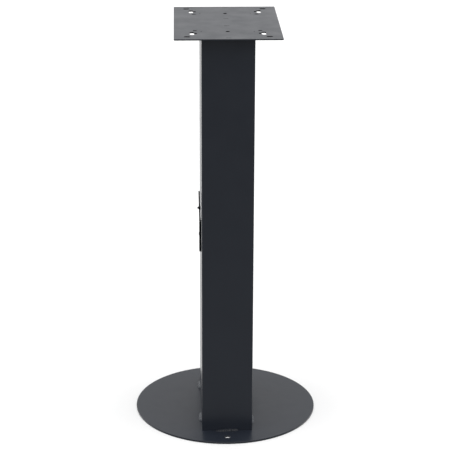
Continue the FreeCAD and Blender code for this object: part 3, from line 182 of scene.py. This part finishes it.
# painted light: the same powder coat made lighter for the side stitches, standing in for light falling on them
# from the sides
SIDE_LIT_WELD_COAT = powder_coat("weld_coat_painted_side_light", (0.034, 0.040, 0.052), (0.044, 0.050, 0.062),
                               0.26, 0.36)
# painted shade: the same powder coat made darker for the front and rear stitches, standing in for the shade
# among the weld's lumps
SHADED_WELD_COAT = powder_coat("weld_coat_painted_shade", (0.0090, 0.0115, 0.0175), (0.0120, 0.0150, 0.0225),
                        0.34, 0.46, 0.06 * MM)


def zinc_plate(name):
    """Bright zinc on turned or pressed steel."""
    finish, tree, shader, place = start_finish(name)
    shader.inputs["Metallic"].default_value = 1.0
    shade = spread(tree, grain(tree, place, 6 * MM, 3.0), 0, 1)
    colour = between(tree, shade, (0.46, 0.47, 0.49), (0.62, 0.62, 0.60))
    tree.links.new(colour, shader.inputs["Base Color"])
    gloss = spread(tree, grain(tree, place, 2 * MM, 2.0), 0.26, 0.42)
    tree.links.new(gloss, shader.inputs["Roughness"])
    relief(tree, shader, grain(tree, place, 0.4 * MM, 1.0, (1, 8, 1)), 0.01 * MM, 0.4)
    return finish


def moulded(name, dark, light, rough_low, rough_high, size):
    """Moulded or foamed part with a matt skin; size is that of its grain."""
    finish, tree, shader, place = start_finish(name)
    shade = spread(tree, grain(tree, place, size, 3.0), 0, 1)
    tree.links.new(between(tree, shade, dark, light), shader.inputs["Base Color"])
    gloss = spread(tree, grain(tree, place, size * 2, 2.0), rough_low, rough_high)
    tree.links.new(gloss, shader.inputs["Roughness"])
    relief(tree, shader, grain(tree, place, size / 4, 2.0), size / 20, 0.5)
    return finish


ZINC = zinc_plate("bright_zinc")
BLACK_OXIDE = powder_coat("black_oxide_steel", (0.010, 0.010, 0.011), (0.018, 0.018, 0.019), 0.30, 0.45)
NYLON = moulded("natural_nylon", (0.60, 0.59, 0.54), (0.72, 0.71, 0.66), 0.40, 0.52, 3 * MM)
FOAM = moulded("seal_foam", (0.012, 0.012, 0.012), (0.022, 0.022, 0.022), 0.75, 0.90, 1.2 * MM)

FINISH_OF_SLOT = {
    "powder_coat": ANTHRACITE,
    "handle_coat": BLACK_COAT,
    "zinc_steel": ZINC,
    "black_steel": BLACK_OXIDE,
    "nylon": NYLON,
    "foam_rubber": FOAM,
}


def dress_cad_nodes():
    """Give every CAD node the finish of its slot in the record; the cut plate has its own, with painted shade
    on the walls of its slots and holes.
    """
    finish_of = {row["node"]: FINISH_OF_SLOT[row["material_slot"]] for row in frame["record"]["subparts"]}
    finish_of["top_plate"] = PLATE_COAT_WITH_SLOT_SHADE
    for name, piece in NODES.items():
        piece.data.materials.clear()
        piece.data.materials.append(finish_of[name])


dress_cad_nodes()


# ---------------------------------------------------------------- foot welds
LONG_LEG = 5.5 * MM       # front and rear stitch
LONG_LENGTH = 60 * MM
SIDE_LEG = 7.5 * MM
SIDE_LENGTH = 48 * MM
LEFT_STITCHES = {"left_front_foot_weld": -87 * MM, "left_rear_foot_weld": 108 * MM}
RIGHT_STITCHES = {"right_front_foot_weld": -104 * MM, "right_rear_foot_weld": 100 * MM}

# drops of weld metal, as shares of the leg
DROP_OFFSET = 0.3         # a drop's middle, inside the corner
DROP_RADIUS = 1.28
DROP_WANDER = 0.08        # up or down

# drops of weld metal, as shares of a full drop
DROP_THINNING = 0.16      # at most
END_DROP = 0.86           # the first and last drop

DROP_SLIP = 0.15          # along the stitch, as a share of the pitch
ROOT_DEPTH = 0.3 * MM     # metal left under the faces that a stitch sits on
VOXEL = 0.45 * MM


def lay_drops(length, leg, pitch, overlap, climb, dice):
    """Overlapping drops of weld metal along X.

    overlap is a drop's half length over the pitch.  climb is how far the stitch wanders from the
    plate up to the wall, as a share of the leg.
    """
    count = round(length / pitch)
    for number in range(count):
        share = (number + 0.5) / count
        full = 1 - dice.uniform(0, DROP_THINNING)
        if number in (0, count - 1):
            full *= END_DROP
        reach = DROP_RADIUS * leg * full
        rise = climb * leg * (share - 0.5)
        middle = ((share - 0.5) * (length - pitch) + dice.uniform(-DROP_SLIP, DROP_SLIP) * pitch,
                  DROP_OFFSET * leg + rise,
                  -DROP_OFFSET * leg + rise + dice.uniform(-DROP_WANDER, DROP_WANDER) * leg)
        bpy.ops.mesh.primitive_uv_sphere_add(segments=24, ring_count=16, radius=1, location=middle,
                                             scale=(pitch * overlap, reach, reach))
        if number == 0:
            bpy.ops.object.mode_set(mode="EDIT")


def weld_stitch(name, length, leg, pitch, overlap, climb, foot_stretch, seed, coat):
    """A lumpy fillet weld in the corner of a wall (its face at Y 0) and a plate (its face at Z 0).

    foot_stretch makes its leg on the plate longer than the one on the wall.
    """
    bpy.ops.object.select_all(action="DESELECT")
    lay_drops(length, leg, pitch, overlap, climb, random.Random(seed))
    bpy.ops.mesh.select_all(action="SELECT")
    bpy.ops.transform.resize(value=(1, foot_stretch, 1), center_override=(0, 0, 0))
    bpy.ops.object.mode_set(mode="OBJECT")
    stitch = bpy.context.object
    stitch.name = name
    bpy.ops.object.transform_apply(location=True, rotation=True, scale=True)
    melt = stitch.modifiers.new("melt", "REMESH")
    melt.mode = "VOXEL"
    melt.voxel_size = VOXEL
    bpy.ops.object.modifier_apply(modifier="melt")
    soften = stitch.modifiers.new("soften", "SMOOTH")
    soften.factor = 0.5
    soften.iterations = 2
    bpy.ops.object.modifier_apply(modifier="soften")
    bpy.ops.object.mode_set(mode="EDIT")
    for root, away in (((0, ROOT_DEPTH, 0), (0, 1, 0)), ((0, 0, -ROOT_DEPTH), (0, 0, -1))):
        bpy.ops.mesh.select_all(action="SELECT")
        bpy.ops.mesh.bisect(plane_co=root, plane_no=away, use_fill=True, clear_outer=True)
    bpy.ops.mesh.select_all(action="SELECT")
    bpy.ops.mesh.normals_make_consistent(inside=False)
    bpy.ops.object.mode_set(mode="OBJECT")
    bpy.ops.object.shade_smooth_by_angle(angle=FLAT_SHADE_LIMIT)
    stitch.data.materials.append(coat)
    return stitch


def place_stitch(stitch, name, spot, quarter_turns):
    """A copy of a stitch with its own mesh, turned about Z and put at its corner."""
    piece = stitch.copy()
    piece.data = stitch.data.copy()
    piece.name = name
    bpy.context.scene.collection.objects.link(piece)
    bpy.ops.object.select_all(action="DESELECT")
    piece.select_set(True)
    bpy.context.view_layer.objects.active = piece
    piece.location = spot
    piece.rotation_euler = (0, 0, math.pi / 2 * quarter_turns)
    bpy.ops.object.transform_apply(location=True, rotation=True, scale=True)
    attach(piece, "stand")
    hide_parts("foot_welds")


def weld_column_to_foot():
    """Six stitches: front, rear and two on each side of the column."""
    (left, front, _), (right, rear, _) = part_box("column_shell")
    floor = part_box("base_plate")[1][2]
    # the front and rear stitches take the darker coat: painted shade
    long_stitch = weld_stitch("long_weld", LONG_LENGTH, LONG_LEG, pitch=4.6 * MM, overlap=0.72,
                              climb=0.4, foot_stretch=1.4, seed=3, coat=SHADED_WELD_COAT)
    place_stitch(long_stitch, "front_foot_weld", (0, front, floor), 0)
    place_stitch(long_stitch, "rear_foot_weld", (0, rear, floor), 2)
    # the side stitches take the lighter coat: painted light from the sides
    side_stitch = weld_stitch("side_weld", SIDE_LENGTH, SIDE_LEG, pitch=6.4 * MM, overlap=1.3,
                              climb=0.1, foot_stretch=1.22, seed=8, coat=SIDE_LIT_WELD_COAT)
    for wall, quarter_turns, stitches in ((left, -1, LEFT_STITCHES), (right, 1, RIGHT_STITCHES)):
        for name, middle in stitches.items():
            place_stitch(side_stitch, name, (wall, middle, floor), quarter_turns)
    for pattern in (long_stitch, side_stitch):
        bpy.data.objects.remove(pattern)


weld_column_to_foot()


# ---------------------------------------------------------------- studio: floor, light, camera
FLOOR_WIDTH = 400
FLOOR_SHADES = ((0.93, 0.93, 0.93), (0.95, 0.95, 0.95))

# brightness of the studio by the height of the look: -1 straight down, 0 level, 1 straight up
FRONT_GLOW = ((-1.0, 0.45), (-0.45, 0.46), (-0.22, 0.20), (0.0, 0.15), (0.12, 0.30), (0.20, 0.90),
              (0.40, 0.90), (0.60, 0.40), (1.0, 0.50))
BACK_GLOW = ((-1.0, 0.45), (-0.55, 0.60), (-0.42, 1.30), (-0.2, 1.30), (-0.1, 1.10), (0.0, 1.05),
             (0.22, 0.92), (0.35, 0.68), (0.6, 0.50), (1.0, 0.50))
TURN_WIDTH = 0.35         # half of the band, along Y, in which the front's glow gives way to the back's
OVERHEAD_POWER = 2.35
OVERHEAD_ANGLE = math.radians(100)

CAMERA_PLACE = Vector((-0.1188, -3.8081, 1.8005))
CAMERA_PITCH = 0.333
CAMERA_YAW = 0.022
CAMERA_ROLL = -0.00015
FOCAL_LENGTH = 129.18
SENSOR_WIDTH = 36
SHIFT = (0.0294, 0.0071)
FARTHEST_SEEN = 1000


def lay_floor():
    """Pale floor, hidden from gloss and bounced light, so that the coat stays dark above it."""
    bpy.ops.mesh.primitive_plane_add(size=FLOOR_WIDTH, location=(0, 0, 0))
    floor = bpy.context.object
    floor.name = "studio_floor"
    floor.visible_glossy = False
    floor.visible_diffuse = False
    finish, tree, shader, place = start_finish("pale_floor")
    shade = spread(tree, grain(tree, place, 0.8, 2.0), 0, 1)
    tree.links.new(between(tree, shade, *FLOOR_SHADES), shader.inputs["Base Color"])
    shader.inputs["Roughness"].default_value = 0.9
    shader.inputs["Specular IOR Level"].default_value = 0.1
    floor.data.materials.append(finish)


def sky_profile(tree, height, stops):
    """Brightness of the studio wall from straight down (-1) to straight up (1)."""
    share = spread(tree, height, 0, 1, -1, 1)
    ramp = tree.nodes.new("ShaderNodeValToRGB")
    levels = ramp.color_ramp.elements
    while len(levels) < len(stops):
        levels.new(0.5)
    for level, (rise, glow) in zip(levels, stops):
        level.position = (rise + 1) / 2
        level.color = (glow, glow, glow, 1)
    tree.links.new(share, ramp.inputs["Fac"])
    return ramp.outputs["Color"]


def light_studio():
    """White behind and above, dim towards the front, and one very broad lamp overhead."""
    world = bpy.data.worlds.new("studio_light")
    world.use_nodes = True
    tree = world.node_tree
    sky = tree.nodes["Background"]
    way = tree.nodes.new("ShaderNodeTexCoord")
    split = tree.nodes.new("ShaderNodeSeparateXYZ")
    tree.links.new(way.outputs["Generated"], split.inputs["Vector"])
    turn = tree.nodes.new("ShaderNodeMix")
    turn.data_type = "RGBA"
    tree.links.new(spread(tree, split.outputs["Y"], 0, 1, -TURN_WIDTH, TURN_WIDTH), turn.inputs["Factor"])
    tree.links.new(sky_profile(tree, split.outputs["Z"], FRONT_GLOW), turn.inputs["A"])
    tree.links.new(sky_profile(tree, split.outputs["Z"], BACK_GLOW), turn.inputs["B"])
    tree.links.new(turn.outputs["Result"], sky.inputs["Color"])
    sky.inputs["Strength"].default_value = 1.0
    bpy.context.scene.world = world

    lamp = bpy.data.lights.new("overhead_lamp", "SUN")
    lamp.angle = OVERHEAD_ANGLE
    lamp.energy = OVERHEAD_POWER
    overhead = bpy.data.objects.new("overhead_lamp", lamp)
    bpy.context.scene.collection.objects.link(overhead)


def set_camera():
    """A long lens at head height in front, looking down at the stand."""
    lens = bpy.data.cameras.new("camera")
    lens.sensor_width = SENSOR_WIDTH
    lens.lens = FOCAL_LENGTH
    lens.shift_x, lens.shift_y = SHIFT
    lens.clip_end = FARTHEST_SEEN
    camera = bpy.data.objects.new("camera", lens)
    bpy.context.scene.collection.objects.link(camera)
    camera.location = CAMERA_PLACE
    camera.rotation_euler = Euler((math.pi / 2 - CAMERA_PITCH, CAMERA_ROLL, -CAMERA_YAW), "XYZ")
    bpy.context.scene.camera = camera


lay_floor()
light_studio()
set_camera()
bpy.context.scene.view_settings.view_transform = "Standard"
bpy.context.scene.view_settings.look = "None"
